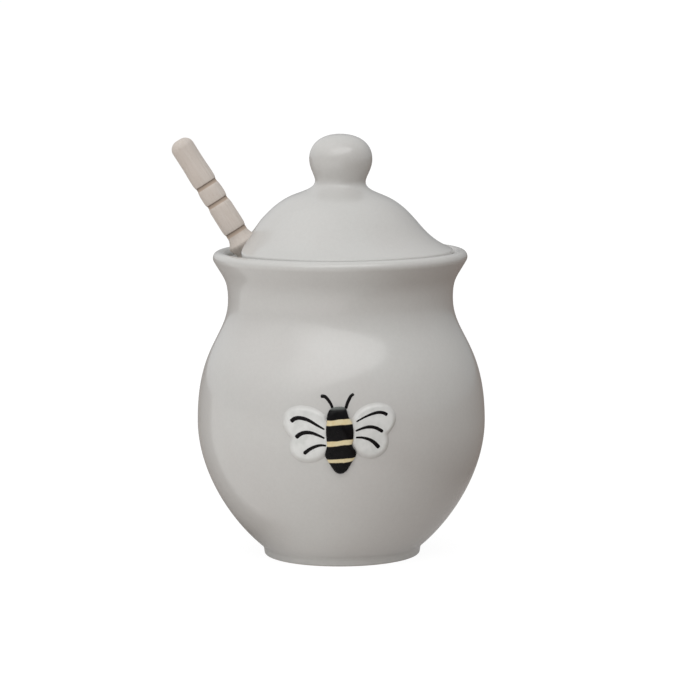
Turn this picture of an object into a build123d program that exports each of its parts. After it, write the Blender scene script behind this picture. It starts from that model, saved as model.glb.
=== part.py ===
from build123d import *
import os
from math import asin, atan2, cos, degrees, radians, sin

# A glazed stoneware honey pot with a loose lid and a turned wooden dipper.
# Units are millimetres. The pot stands on its foot at the origin, +Z is up and
# the bee on the front faces -Y. The lid's notch and the dipper are on the -X side.

# ---------- Pot: outside ----------
foot_radius = 28.0        # where the foot ring meets the body
foot_height = 2.8
foot_draft = 0.4          # the ring narrows by this much at the table
foot_width = 4.6          # width of the ring on the table
foot_recess = 1.6         # the base is raised inside the ring
foot_round = 0.6
foot_lean = 50.0          # degrees from vertical, where the body leaves the foot

belly_radius = 50.9
belly_height = 47.7       # the widest level, above the table
neck_radius = 39.7
neck_rise = 43.5          # the narrowest level, above the belly
rim_overhang = 5.15       # the rim stands out this far from the neck
rim_rise = 16.8           # top of the rim, above the narrowest level
rim_lean = 29.0           # degrees from vertical, where the side meets the rim
lip_radius = 2.3          # the rim is a roll of this radius

# ---------- Pot: inside ----------
wall = 3.8
floor_thickness = 4.4
floor_corner = 8.0        # round between the floor and the side
seat_depth = 3.0          # the lid's seat lies this far below the rim's top
seat_round = 0.8

# ---------- Bee, raised on the front of the belly ----------
bee_height = 48.0         # middle of the bee, above the table
bee_tilt = 2.3            # degrees, anticlockwise seen from the front
bee_length = 23.0
bee_width = 10.3
bee_widest = -3.5         # level of the widest part, from the bee's middle
bee_head_radius = 3.8
bee_tail_radius = 2.2
bee_relief = 1.8          # how far the body stands out
bee_round = 1.0
wing_relief = 0.9
wing_round = 0.5
wing_waist = 3.0          # round where the outlines of the two wings meet
wing_root = 2.6           # height of the part that runs under the bee's body
wing_root_round = 1.2
upper_wing = (7.4, 6.5)   # half length and half width
upper_wing_place = (11.7, 5.9)
upper_wing_turn = 18.0
lower_wing = (6.5, 6.1)
lower_wing_place = (10.4, -0.9)
lower_wing_turn = -20.0

# ---------- Lid ----------
lid_wall = 3.2
lid_edge = 3.15           # thickness of the edge that lies on the seat
lid_edge_round = 1.0
shoulder_radius = 16.1    # where the dome turns up into the knob
shoulder_rise = 22.1      # above the seat
dome_edge_slope = 22.0    # degrees above horizontal, at the edge and at the shoulder
knob_neck_radius = 8.9
knob_neck_rise = 27.1
knob_radius = 11.1
knob_rise = 34.9          # widest level of the knob, above the seat
lid_rise = 43.7           # top of the knob, above the seat
ring_depth = 5.0          # locating ring, below the seat
ring_wall = 2.8
ring_round = 0.8

notch_turn = 180.3        # degrees about Z, anticlockwise from +X
notch_play = 6.8          # room around the dipper's bead
notch_corner = 12.0       # round where the notch runs out into the edge

# ---------- Dipper ----------
dipper_turn = 178.0       # degrees about Z
dipper_length = 162.0
handle_radius = 4.2
handle_swell = 0.15       # the turned lengths of the grip are slightly barrel shaped
tip_round = 1.9
grip_grooves = (18.1, 25.3, 37.4)    # from the tip
groove_depth = 0.45
bead_radius = 5.5
bead_middle = 42.3        # from the tip
bead_cove = 3.4           # length of the hollow above the bead
bead_round = 4.0          # length of the round below the bead
head_length = 31.0
head_radius = 12.5
head_neck_radius = 7.5    # the ribbed head's first edge, on the shaft's side
head_core_radius = 5.0
head_end_radius = 7.0     # round of the far end
head_ribs = 7
head_groove = 2.0         # width of the grooves between the ribs
groove_round = 0.8        # round at the bottom of those grooves

# ---------- Clearances ----------
lid_play = 0.4            # between the lid's edge and the rim around it
ring_play = 0.7           # between the locating ring and the mouth
rest_gap = 0.3            # between pieces that rest on each other
rest_share = 0.14         # the dipper's end settles this far up the lower side

# ---------- Worked out from the above ----------
neck_height = belly_height + neck_rise
rim_height = neck_height + rim_rise
rim_radius = neck_radius + rim_overhang
lip_centre = Vector(rim_radius - lip_radius, rim_height - lip_radius)
gallery_radius = rim_radius - 2 * lip_radius
mouth_radius = neck_radius - wall
seat_height = rim_height - seat_depth
floor_height = foot_recess + floor_thickness

lid_radius = gallery_radius - lid_play
lid_base = seat_height + rest_gap
ring_outer = mouth_radius - ring_play
ring_inner = ring_outer - ring_wall
notch_radius = bead_radius + notch_play


def direction(lean):
    """Unit vector in a profile, leaning outwards from vertical by lean degrees."""
    return Vector(sin(radians(lean)), cos(radians(lean)))


def smooth_curve(start, start_lean, start_pull, end, end_lean, end_pull):
    """A curve with given directions at its ends. A pull is a share of the distance between them."""
    start = Vector(start)
    end = Vector(end)
    span = (end - start).length
    leaving = start + direction(start_lean) * span * start_pull
    arriving = end - direction(end_lean) * span * end_pull
    return Bezier(start, leaving, arriving, end)


def side_points(inset):
    """Foot, belly and neck points of the pot's side, set in from its outside face."""
    inward = Vector(-cos(radians(foot_lean)), sin(radians(foot_lean)))
    foot = Vector(foot_radius, foot_height) + inward * inset
    belly = Vector(belly_radius - inset, belly_height)
    neck = Vector(neck_radius - inset, neck_height)
    return foot, belly, neck


def lower_side(inset):
    """The pot's side from the foot to the belly."""
    foot, belly, _ = side_points(inset)
    return smooth_curve(foot, foot_lean, 0.35, belly, 0, 0.315)


def upper_side(inset):
    """The pot's side from the belly to the neck."""
    _, belly, neck = side_points(inset)
    return smooth_curve(belly, 0, 0.613, neck, 0, 0.302)


# ---------- Bee ----------
def raised_on_side(outline, relief, edge_round):
    """What stands out from the pot's side within an outline seen from the front."""
    with BuildPart() as raised:
        with BuildSketch(Plane.XZ):
            with BuildLine():
                face_low = lower_side(-relief)
                face_high = upper_side(-relief)
                back_low = lower_side(wall / 2)
                back_high = upper_side(wall / 2)
                Line(face_high @ 1, back_high @ 1)
                Line(face_low @ 0, back_low @ 0)
            make_face()
        revolve(axis=Axis.Z)
        extrude(outline, amount=2 * belly_radius, mode=Mode.INTERSECT)
        rounds = raised.faces().filter_by(GeomType.REVOLUTION).sort_by(Axis.Y)
        front = rounds[0:len(rounds) // 2]
        fillet(front.edges().filter_by(GeomType.CIRCLE, reverse=True), edge_round)
    return raised.part


bee_plane = Plane.XZ * Location((0, bee_height, 0), (0, 0, bee_tilt))

with BuildSketch() as wing_pair:
    with Locations(Location(upper_wing_place, upper_wing_turn)):
        Ellipse(*upper_wing)
    with Locations(Location(lower_wing_place, lower_wing_turn)):
        Ellipse(*lower_wing)
    between = (Vector(upper_wing_place) + Vector(lower_wing_place)) / 2
    fillet(wing_pair.vertices().sort_by_distance(between)[0], wing_waist)
    with Locations((0, between.Y)):
        Rectangle(between.X, wing_root, align=(Align.MIN, Align.CENTER))
    root = (upper_wing_place[0] - upper_wing[0], between.Y)
    fillet(wing_pair.vertices().sort_by_distance(root)[0:2], wing_root_round)

with BuildSketch(bee_plane) as wing_outline:
    add(wing_pair.sketch)
    mirror(about=Plane.YZ)

with BuildSketch(bee_plane) as bee_outline:
    with Locations((0, bee_length / 2 - bee_head_radius)):
        Circle(bee_head_radius)
    with Locations((0, bee_widest)):
        Circle(bee_width / 2)
    with Locations((0, bee_tail_radius - bee_length / 2)):
        Circle(bee_tail_radius)
    make_hull()

wings = raised_on_side(wing_outline.sketch, wing_relief, wing_round)
bee_body = raised_on_side(bee_outline.sketch, bee_relief, bee_round)

# ---------- Pot ----------
with BuildPart() as pot:
    with BuildSketch(Plane.XZ) as outside:
        with BuildLine():
            Polyline(
                (0, foot_recess),
                (foot_radius - foot_draft - foot_width, foot_recess),
                (foot_radius - foot_draft - foot_width, 0),
                (foot_radius - foot_draft, 0),
                (foot_radius, foot_height),
            )
            lower_side(0)
            neck_point = upper_side(0) @ 1
            lip_start = lip_centre + Vector(cos(radians(rim_lean)), -sin(radians(rim_lean))) * lip_radius
            smooth_curve(neck_point, 0, 0.5, lip_start, rim_lean, 0.45)
            lip = CenterArc(lip_centre, lip_radius, -rim_lean, 90 + rim_lean)
            Polyline(lip @ 1, (0, rim_height), (0, foot_recess))
        make_face()
        fillet(outside.vertices().group_by(Axis.Y)[0], foot_round)
    revolve(axis=Axis.Z)

    with BuildSketch(Plane.XZ) as cavity:
        with BuildLine():
            lip_inside = CenterArc(lip_centre, lip_radius, 90, 90)
            Polyline(
                lip_inside @ 1,
                (gallery_radius, seat_height),
                (mouth_radius, seat_height),
                (mouth_radius, neck_height),
            )
            upper_side(wall)
            foot_point = lower_side(wall) @ 0
            Polyline(foot_point, (0, foot_point.Y), (0, rim_height), lip_inside @ 0)
        make_face()
        with Locations((0, floor_height)):
            below_floor = (Align.CENTER, Align.MAX)
            Rectangle(2 * belly_radius, 2 * belly_height, align=below_floor, mode=Mode.SUBTRACT)
        floor_edge = cavity.vertices().group_by(Axis.Y)[0].sort_by(Axis.X)[-1]
        fillet(floor_edge, floor_corner)
        seat_level = cavity.vertices().filter_by(lambda v: abs(v.Y - seat_height) < 0.01)
        fillet(seat_level.sort_by(Axis.X)[0], seat_round)
    revolve(axis=Axis.Z, mode=Mode.SUBTRACT)

    add(wings)
    add(bee_body)

pot.part.label = "pot"

# ---------- Lid ----------
with BuildPart() as lid:
    with BuildSketch(Plane.XZ) as lid_profile:
        with BuildLine():
            edge = Vector(lid_radius, lid_base + lid_edge)
            shoulder = Vector(shoulder_radius, lid_base + shoulder_rise)
            knob_neck = Vector(knob_neck_radius, lid_base + knob_neck_rise)
            knob = Vector(knob_radius, lid_base + knob_rise)
            top = Vector(0, lid_base + lid_rise)
            inward_slope = dome_edge_slope - 90
            smooth_curve(edge, inward_slope, 0.373, shoulder, inward_slope, 0.384)
            smooth_curve(shoulder, inward_slope, 0.489, knob_neck, 0, 0.286)
            smooth_curve(knob_neck, 0, 0.218, knob, 0, 0.426)
            smooth_curve(knob, 0, 0.38, top, -90, 0.48)
            hollow_edge = Vector(ring_inner, lid_base + lid_wall)
            hollow_top = Vector(0, lid_base + shoulder_rise - lid_wall)
            smooth_curve(hollow_edge, -45, 0.33, hollow_top, -90, 0.33)
            Line(top, hollow_top)
            Polyline(
                edge,
                (lid_radius, lid_base),
                (ring_outer, lid_base),
                (ring_outer, lid_base - ring_depth),
                (ring_inner, lid_base - ring_depth),
                hollow_edge,
            )
        make_face()
        fillet(lid_profile.vertices().group_by(Axis.Y)[0], ring_round)
        edge_point = lid_profile.vertices().sort_by_distance((edge.X, edge.Y, 0))[0]
        fillet(edge_point, lid_edge_round)
    revolve(axis=Axis.Z)

    notch_plane = Plane(origin=(0, 0, lid_base - ring_depth)).rotated((0, 0, notch_turn))
    with BuildSketch(notch_plane) as plan:
        Circle(lid_radius)
        with Locations((lid_radius, 0)):
            Circle(notch_radius, mode=Mode.SUBTRACT)
        fillet(plan.vertices().sort_by_distance((lid_radius, 0, 0))[0:2], notch_corner)
    extrude(amount=ring_depth + lid_rise, mode=Mode.INTERSECT)

lid.part.label = "lid"

# ---------- Dipper ----------
# It leans in an upright plane: its round end lies against the lower side of the
# pot and its shaft against the edge of the mouth on the other side.
lean_plane = Plane(
    origin=(0, 0, 0),
    x_dir=(cos(radians(dipper_turn)), sin(radians(dipper_turn)), 0),
    z_dir=(sin(radians(dipper_turn)), -cos(radians(dipper_turn)), 0),
)
with BuildLine(mode=Mode.PRIVATE):
    inner_side = lower_side(wall)
contact = inner_side @ rest_share
rising = inner_side % rest_share
end_centre = contact + Vector(-rising.Y, rising.X) * (head_end_radius + rest_gap)
end_centre = Vector(-end_centre.X, end_centre.Y)

mouth_edge = Vector(mouth_radius, seat_height)
reach = mouth_edge - end_centre
lean = degrees(atan2(reach.X, reach.Y) - asin((handle_radius + rest_gap) / reach.length))
tip = end_centre + direction(lean) * (dipper_length - head_end_radius)

tip_point = lean_plane.from_local_coords(tip)
down = lean_plane.from_local_coords(direction(lean)) * -1
across = lean_plane.from_local_coords(direction(lean + 90))
dipper_axis = Axis(tip_point, down)
turning_plane = Plane(origin=tip_point, x_dir=across, z_dir=across.cross(down))

with BuildPart() as dipper:
    with BuildSketch(turning_plane) as turned:
        with BuildLine():
            groove_radius = handle_radius - groove_depth
            cove_start = bead_middle - bead_cove
            shaft_start = bead_middle + bead_round
            head_start = dipper_length - head_length
            head_middle = dipper_length - head_length / 2
            Polyline((0, dipper_length), (0, 0), (handle_radius, 0), (handle_radius, grip_grooves[0]))
            Line((handle_radius, grip_grooves[0]), (groove_radius, grip_grooves[0]))
            for groove, next_groove in zip(grip_grooves, grip_grooves[1:]):
                full = (handle_radius + handle_swell, next_groove)
                smooth_curve((groove_radius, groove), 30, 0.2, full, 0, 0.6)
                Line(full, (groove_radius, next_groove))
            Line((groove_radius, grip_grooves[-1]), (groove_radius, cove_start))
            smooth_curve((groove_radius, cove_start), 0, 0.4, (bead_radius, bead_middle), 40, 0.3)
            smooth_curve((bead_radius, bead_middle), 0, 0.4, (handle_radius, shaft_start), -30, 0.3)
            Line((handle_radius, shaft_start), (handle_radius, head_start))
            Line((handle_radius, head_start), (head_neck_radius, head_start))
            smooth_curve((head_neck_radius, head_start), 40, 0.35, (head_radius, head_middle), 0, 0.4)
            smooth_curve((head_radius, head_middle), 0, 0.43, (0, dipper_length), -90, 0.28)
        make_face()
        fillet(turned.vertices().sort_by_distance((handle_radius, 0, 0))[0], tip_round)
    revolve(axis=dipper_axis)

    rib_pitch = head_length / head_ribs
    with BuildSketch(turning_plane):
        for groove in range(1, head_ribs):
            with Locations((head_core_radius, head_start + groove * rib_pitch)):
                RectangleRounded(head_radius, head_groove, groove_round, align=(Align.MIN, Align.CENTER))
    revolve(axis=dipper_axis, mode=Mode.SUBTRACT)

dipper.part.label = "dipper"

os.makedirs("parts", exist_ok=True)
export_step(pot.part, "parts/pot.step")
export_step(lid.part, "parts/lid.step")
export_step(dipper.part, "parts/dipper.step")
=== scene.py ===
from bisect import bisect_left
from math import acos, atan2, cos, exp, log, pi, radians, sin, sqrt

import bmesh
import bpy
from mathutils import Matrix, Quaternion, Vector


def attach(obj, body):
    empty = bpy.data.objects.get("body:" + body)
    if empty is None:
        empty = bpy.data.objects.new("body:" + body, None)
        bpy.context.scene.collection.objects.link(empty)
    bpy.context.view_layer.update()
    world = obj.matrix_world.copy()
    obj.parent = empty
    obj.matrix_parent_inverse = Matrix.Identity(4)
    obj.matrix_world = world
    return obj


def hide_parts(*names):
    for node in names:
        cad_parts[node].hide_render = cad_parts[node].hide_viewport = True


# A glazed honey pot with a raised bee, a loose notched lid and a wooden dipper.
# Lengths are millimetres in this script and metres in the scene. Named values and leans are
# degrees, and the other angles that functions take are radians.
MM = 0.001

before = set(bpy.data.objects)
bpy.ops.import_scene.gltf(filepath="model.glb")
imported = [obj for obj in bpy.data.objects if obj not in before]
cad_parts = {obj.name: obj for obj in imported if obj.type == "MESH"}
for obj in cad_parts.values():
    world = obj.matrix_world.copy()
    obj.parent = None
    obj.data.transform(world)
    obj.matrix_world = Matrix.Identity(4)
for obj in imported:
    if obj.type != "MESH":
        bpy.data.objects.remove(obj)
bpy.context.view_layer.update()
scene = bpy.context.scene

# ---------------------------------------------------------------- camera
CAMERA_PLACE = (3.25, -1080.0, 208.0)
CAMERA_PITCH = 7.15       # degrees below the horizon
CAMERA_ROLL = -0.37
CAMERA_LENS, CAMERA_SENSOR = 158.16, 36.0
CAMERA_CLIP = (0.01, 200.0)     # metres

camera_data = bpy.data.cameras.new("camera")
camera_data.lens = CAMERA_LENS
camera_data.sensor_width = CAMERA_SENSOR
camera_data.clip_start, camera_data.clip_end = CAMERA_CLIP
camera = bpy.data.objects.new("camera", camera_data)
scene.collection.objects.link(camera)
camera.matrix_world = (
    Matrix.Translation(Vector(CAMERA_PLACE) * MM)
    @ Matrix.Rotation(radians(90 - CAMERA_PITCH), 4, "X")
    @ Matrix.Rotation(radians(CAMERA_ROLL), 4, "Z")
)
scene.camera = camera

# ---------------------------------------------------------------- sizes
# PULLS say how far a curve keeps to the direction it has at each end, as shares of its span.
FOOT_RADIUS, FOOT_HEIGHT, FOOT_DRAFT, FOOT_WIDTH = 28.0, 2.8, 0.4, 4.6
FOOT_RECESS, FOOT_ROUND, FOOT_COVE, FOOT_LEAN = 1.6, 0.6, 2.8, 50.0
FOOT_BARE = 0.3                 # the foot has no glaze below this height
BELLY_RADIUS, BELLY_HEIGHT, BELLY_PULLS = 50.9, 47.7, (0.35, 0.315)
NECK_RADIUS, NECK_HEIGHT, NECK_PULLS = 39.7, 91.2, (0.613, 0.302)
RIM_RADIUS, RIM_HEIGHT, RIM_LEAN, RIM_PULLS = 44.85, 108.0, 29.0, (0.5, 0.45)
LIP_RADIUS, WALL = 2.3, 3.8
# Inside: the floor, where the wall starts to turn into it, and how round that corner is
FLOOR_HEIGHT, FLOOR_CORNER, FLOOR_PULL = 6.0, 10.96, 0.56
SEAT_HEIGHT, SEAT_ROUND, GALLERY_ROUND = 105.0, 0.8, 0.4
GALLERY_RADIUS = RIM_RADIUS - 2 * LIP_RADIUS
MOUTH_RADIUS = NECK_RADIUS - WALL
POT_COLUMNS = 216

LID_RADIUS, LID_BASE, LID_EDGE, LID_WALL = 39.85, 105.3, 3.15, 3.2
LID_EDGE_ROUND, LID_FOOT_ROUND = 1.0, 0.35
SHOULDER_RADIUS, SHOULDER_RISE, DOME_SLOPE, DOME_PULLS = 16.1, 22.1, 22.0, (0.373, 0.384)
KNOB_NECK_RADIUS, KNOB_NECK_RISE, KNOB_NECK_PULLS = 8.9, 27.1, (0.489, 0.286)
KNOB_RADIUS, KNOB_RISE, KNOB_PULLS = 11.1, 34.9, (0.218, 0.426)
LID_RISE, KNOB_TOP_PULLS = 43.7, (0.38, 0.48)
RING_OUTER, RING_INNER, RING_DEPTH, RING_ROUND = 35.2, 32.4, 5.0, 0.8
RING_OUTER_COVE, RING_INNER_COVE = 0.4, 1.2
HOLLOW_SLOPE, HOLLOW_PULLS = 45.0, (0.33, 0.33)
BARE_RADIUS = 37.5              # the lid's base has no glaze from here to its edge
NOTCH_TURN, NOTCH_RADIUS, NOTCH_CORNER = 180.3, 12.3, 12.0
# The lid's dome and knob lean a little to the right: by how much, over what rise above the
# lid's base the lean sets in, and the height of the point that stays put
LID_LEAN, LEAN_RISE, LEAN_PIVOT = 1.5, 12.0, 18.0

DIPPER_TIP = Vector((-56.71, 1.98, 146.96))
DIPPER_DOWN = Vector((0.528548, -0.018457, -0.848703)).normalized()
DIPPER_LENGTH, HANDLE_RADIUS, TIP_ROUND, TIP_FLAT = 162.0, 4.2, 3.3, 0.5
DIPPER_COLUMNS = 56
GRIP_GROOVES, GROOVE_RADIUS, GROOVE_FLAT = (18.1, 25.3, 37.4), 3.9, 1.2
# Rows of distance along the dipper and radius: from its tip, from the start of a groove,
# and from the end of a groove's flat
GRIP_ROWS = ((5.0, 4.18), (8.0, 4.15), (11.0, 4.18), (14.0, 4.28))
BEFORE_GROOVE = ((-2.4, 4.3), (-1.4, 4.27), (-0.8, 4.2), (-0.35, 4.1), (-0.05, 4.0), (0.03, 3.8),
                 (0.15, GROOVE_RADIUS))
AFTER_GROOVE = ((0.12, 4.04), (0.8, 4.14), (1.6, 4.24))
BEAD_MIDDLE, BEAD_RADIUS, BEAD_COVE, BEAD_ROUND, BEAD_POWER = 42.3, 5.5, 3.4, 4.0, 1.7
HEAD_LENGTH, HEAD_RADIUS, HEAD_NECK_RADIUS, HEAD_CORE_RADIUS = 31.0, 12.5, 7.5, 5.0
HEAD_NECK_LEAN, HEAD_UPPER_PULLS, HEAD_LOWER_PULLS = 40.0, (0.35, 0.4), (0.43, 0.28)
HEAD_RIBS, HEAD_GROOVE, RIB_ROUND = 7, 2.0, 0.35
HEAD_PITCH = HEAD_LENGTH / HEAD_RIBS
RIB_SOFTENING = (0.1, 0.12)     # along and across, halfway round a rib's edge
CORE_COVE = (0.25, 0.3)         # along and across, where a rib meets the head's core

BEE_HEIGHT, BEE_TILT, BEE_RELIEF, BEE_EDGE = 48.0, 2.3, 1.79, 0.5
BEE_SQUARENESS = 5              # how flat the body's top is before it falls to its edge
# The wings' height, the inset at which they reach it, how steeply they rise to it, and
# how sharp the waist between the two lobes is
WING_RELIEF, WING_SLOPE, WING_POWER, WING_WAIST = 0.9, 2.0, 1.15, 1.7
WING_FADE = (0.2, 2.4)          # insets at which the white starts and is full
WING_HUB = Vector((11.0, 2.5))
# Each wing pair: two ellipses by centre, half length and half width, and turn
WINGS = {
    -1: (((11.6, 5.7), (8.3, 6.45), 18.0), ((10.5, -1.1), (7.5, 6.2), -20.0)),
    1: (((11.2, 5.7), (8.0, 6.25), 18.0), ((9.7, -0.8), (6.6, 6.05), -20.0)),
}
STROKE_CROWN, STROKE_CROWN_WIDTH = 0.3, 0.9
# How far the edges of body, wings and strokes reach into the surface under them
BEE_SUNK, WING_SUNK, STROKE_SUNK = 0.2, 0.03, 0.04


# ---------------------------------------------------------------- profiles
def leaning(lean):
    """Unit vector (outwards, up) that leans outwards from vertical by lean degrees."""
    return Vector((sin(radians(lean)), cos(radians(lean))))


def bezier(ends, steps):
    """Points of a cubic curve from the first to the last of four points."""
    first, second, third, last = ends
    points = []
    for step in range(steps + 1):
        t = step / steps
        s = 1 - t
        points.append(first * s ** 3 + second * 3 * s * s * t + third * 3 * s * t * t
                      + last * t ** 3)
    return points


def curve(start, start_lean, end, end_lean, pulls, steps):
    """Points of a cubic curve with given directions at its ends."""
    start = Vector(start)
    end = Vector(end)
    span = (end - start).length
    leaving = start + leaning(start_lean) * span * pulls[0]
    arriving = end - leaning(end_lean) * span * pulls[1]
    return bezier((start, leaving, arriving, end), steps)


def arc(centre, radius, first, last, steps):
    """Points of an arc between two angles in degrees."""
    angles = [radians(first + (last - first) * step / steps) for step in range(steps + 1)]
    return [Vector((centre[0] + radius * cos(a), centre[1] + radius * sin(a))) for a in angles]


def rounded(before, point, after, radius, steps):
    """Points of the round of a corner between two straight runs."""
    point = Vector(point)
    back = (Vector(before) - point).normalized()
    ahead = (Vector(after) - point).normalized()
    half = back.angle(ahead) / 2
    reach = radius * cos(half) / sin(half)
    middle = (back + ahead).normalized()
    centre = point + middle * (radius / sin(half))
    start = point + back * reach - centre
    end = point + ahead * reach - centre
    sweep = start.angle(end)
    points = []
    for step in range(steps + 1):
        t = step / steps
        turned = start * sin((1 - t) * sweep) + end * sin(t * sweep)
        points.append(centre + turned / sin(sweep))
    return points


def lookup(table, key, value, at):
    """Value read off a table of points, which rises in its key coordinate."""
    keys = [point[key] for point in table]
    index = min(max(bisect_left(keys, at), 1), len(table) - 1)
    low, high = table[index - 1], table[index]
    share = (at - low[key]) / (high[key] - low[key])
    return low[value] + (high[value] - low[value]) * share


def lower_side(inset, steps):
    """The pot's side from its foot up to the belly, moved into the wall by an inset."""
    inward = Vector((-cos(radians(FOOT_LEAN)), sin(radians(FOOT_LEAN))))
    foot = Vector((FOOT_RADIUS, FOOT_HEIGHT)) + inward * inset
    return curve(foot, FOOT_LEAN, (BELLY_RADIUS - inset, BELLY_HEIGHT), 0, BELLY_PULLS, steps)


def upper_side(inset, steps):
    """The pot's side from the belly up to the neck, moved into the wall by an inset."""
    return curve((BELLY_RADIUS - inset, BELLY_HEIGHT), 0,
                 (NECK_RADIUS - inset, NECK_HEIGHT), 0, NECK_PULLS, steps)


def pot_profile():
    """Outline of the pot's section: base, foot, side, rim, seat, and the inside to its floor."""
    ring_inside = FOOT_RADIUS - FOOT_DRAFT - FOOT_WIDTH
    ring_outside = FOOT_RADIUS - FOOT_DRAFT
    recess = ((0, FOOT_RECESS), (ring_inside, FOOT_RECESS))
    tread = ((ring_inside, 0), (ring_outside, 0))
    foot_top = (FOOT_RADIUS, FOOT_HEIGHT)
    lower = lower_side(0, steps=34)
    points = [Vector(recess[0]), Vector((ring_inside / 2, FOOT_RECESS))]
    points += rounded(*recess, tread[0], FOOT_ROUND, steps=3)
    points += rounded(recess[1], *tread, FOOT_ROUND, steps=4)
    points.append(Vector(((ring_inside + ring_outside) / 2, 0)))
    points += rounded(*tread, foot_top, FOOT_ROUND, steps=5)
    points += rounded(tread[1], foot_top, lower[1], FOOT_COVE, steps=7)
    points += lower[1:] + upper_side(0, steps=34)[1:]

    lip_centre = Vector((RIM_RADIUS - LIP_RADIUS, RIM_HEIGHT - LIP_RADIUS))
    lip_away = Vector((cos(radians(RIM_LEAN)), -sin(radians(RIM_LEAN))))
    points += curve((NECK_RADIUS, NECK_HEIGHT), 0,
                    lip_centre + lip_away * LIP_RADIUS, RIM_LEAN, RIM_PULLS, steps=16)[1:]
    points += arc(lip_centre, LIP_RADIUS, -RIM_LEAN, 180, steps=26)[1:]
    seat = ((GALLERY_RADIUS, SEAT_HEIGHT), (MOUTH_RADIUS, SEAT_HEIGHT))
    points += rounded((GALLERY_RADIUS, RIM_HEIGHT), *seat, GALLERY_ROUND, steps=3)
    points += rounded(*seat, (MOUTH_RADIUS, NECK_HEIGHT), SEAT_ROUND, steps=5)

    points += upper_side(WALL, steps=28)[::-1]
    inner = [point for point in lower_side(WALL, steps=60)[::-1] if point.y > FLOOR_CORNER]
    points += inner[1::2]
    last = inner[-1]
    fall = (last - inner[-2]).normalized()
    meet = last + fall * ((FLOOR_HEIGHT - last.y) / fall.y)
    landing = meet - Vector(((meet - last).length, 0))
    corner = (last, last.lerp(meet, FLOOR_PULL), landing.lerp(meet, FLOOR_PULL), landing)
    points += bezier(corner, steps=7)[1:]
    points += [Vector((landing.x / 2, FLOOR_HEIGHT)), Vector((0, FLOOR_HEIGHT))]
    return points


SIDE = lower_side(0, steps=240) + upper_side(0, steps=240)[1:]
SIDE_REACH = 0.2                # half the height over which the side's slope is read


def on_pot(across, along, height):
    """Point on the pot's front, from the bee's own coordinates and a height above the glaze."""
    tilt = radians(BEE_TILT)
    x = across * cos(tilt) - along * sin(tilt)
    z = BEE_HEIGHT + across * sin(tilt) + along * cos(tilt)
    radius = lookup(SIDE, 1, 0, z)
    rise = lookup(SIDE, 1, 0, z + SIDE_REACH) - lookup(SIDE, 1, 0, z - SIDE_REACH)
    level = Vector((2 * SIDE_REACH, -rise)).normalized()
    radial = Vector((x, -sqrt(radius * radius - x * x), 0)) / radius
    normal = radial * level.x + Vector((0, 0, level.y))
    return radial * radius + Vector((0, 0, z)) + normal * height


# ---------------------------------------------------------------- mesh makers
MERGE_DISTANCE, SLIVER_LENGTH = 0.002, 0.001
NORMAL_WEIGHT = 50


def add_piece(name, points, faces, materials, body, face_slots=None, values=None):
    """A smooth-shaded mesh piece that rides on a body. Points are in millimetres."""
    mesh = bpy.data.meshes.new(name)
    mesh.from_pydata([tuple(Vector(point) * MM) for point in points], [], faces)
    for material in materials:
        mesh.materials.append(material)
    for label, numbers in (values or {}).items():
        layer = mesh.attributes.new(label, "FLOAT", "POINT")
        layer.data.foreach_set("value", numbers)
    if face_slots:
        mesh.polygons.foreach_set("material_index", face_slots)
    work = bmesh.new()
    work.from_mesh(mesh)
    bmesh.ops.remove_doubles(work, verts=work.verts, dist=MERGE_DISTANCE * MM)
    bmesh.ops.dissolve_degenerate(work, edges=work.edges, dist=SLIVER_LENGTH * MM)
    bmesh.ops.recalc_face_normals(work, faces=work.faces)
    work.to_mesh(mesh)
    work.free()
    mesh.polygons.foreach_set("use_smooth", [True] * len(mesh.polygons))
    piece = bpy.data.objects.new(name, mesh)
    scene.collection.objects.link(piece)
    weighted = piece.modifiers.new("even_normals", "WEIGHTED_NORMAL")
    weighted.mode = "FACE_AREA"
    weighted.weight = NORMAL_WEIGHT
    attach(piece, body)
    return piece


def spun(columns, closed=True):
    """Points and faces of a skin through columns of points, each column of the same length."""
    points = [point for column in columns for point in column]
    rows = len(columns[0])
    faces = []
    for index in range(len(columns) if closed else len(columns) - 1):
        this = index * rows
        following = (index + 1) % len(columns) * rows
        for row in range(rows - 1):
            faces.append((this + row, following + row, following + row + 1, this + row + 1))
    return points, faces


def turned_column(profile, angle):
    """A section turned about the Z axis."""
    return [Vector((point.x * cos(angle), point.x * sin(angle), point.y)) for point in profile]


def clamp(value, low=0.0, high=1.0):
    """Value, kept between two limits."""
    return min(max(value, low), high)


# ---------------------------------------------------------------- materials
class Nodes:
    """Short helpers for a node tree."""

    def __init__(self, tree):
        self.tree = tree

    def put(self, node, key, value):
        """Links a socket to a node's input, or sets the input to a plain value."""
        if isinstance(value, bpy.types.NodeSocket):
            self.tree.links.new(value, node.inputs[key])
        else:
            node.inputs[key].default_value = value

    def node(self, kind, inputs=None, **settings):
        made = self.tree.nodes.new("ShaderNode" + kind)
        for key, value in settings.items():
            setattr(made, key, value)
        for key, value in (inputs or {}).items():
            self.put(made, key, value)
        return made

    def math(self, operation, first, second=0.0, third=0.0, clamped=False):
        made = self.node("Math", {0: first, 1: second, 2: third},
                         operation=operation, use_clamp=clamped)
        return made.outputs[0]

    def spread(self, value, span, to=(0.0, 1.0), ease="LINEAR"):
        """Value, mapped from one span to another and kept inside it."""
        made = self.node("MapRange", {"Value": value, "From Min": span[0], "From Max": span[1],
                                      "To Min": to[0], "To Max": to[1]}, interpolation_type=ease)
        return made.outputs["Result"]

    def seen_directly(self):
        """1 for the rays that come from the camera, straight or through clear stuff."""
        rays = self.node("LightPath").outputs
        return self.math("MAXIMUM", rays["Is Camera Ray"], rays["Is Transmission Ray"])


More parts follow.
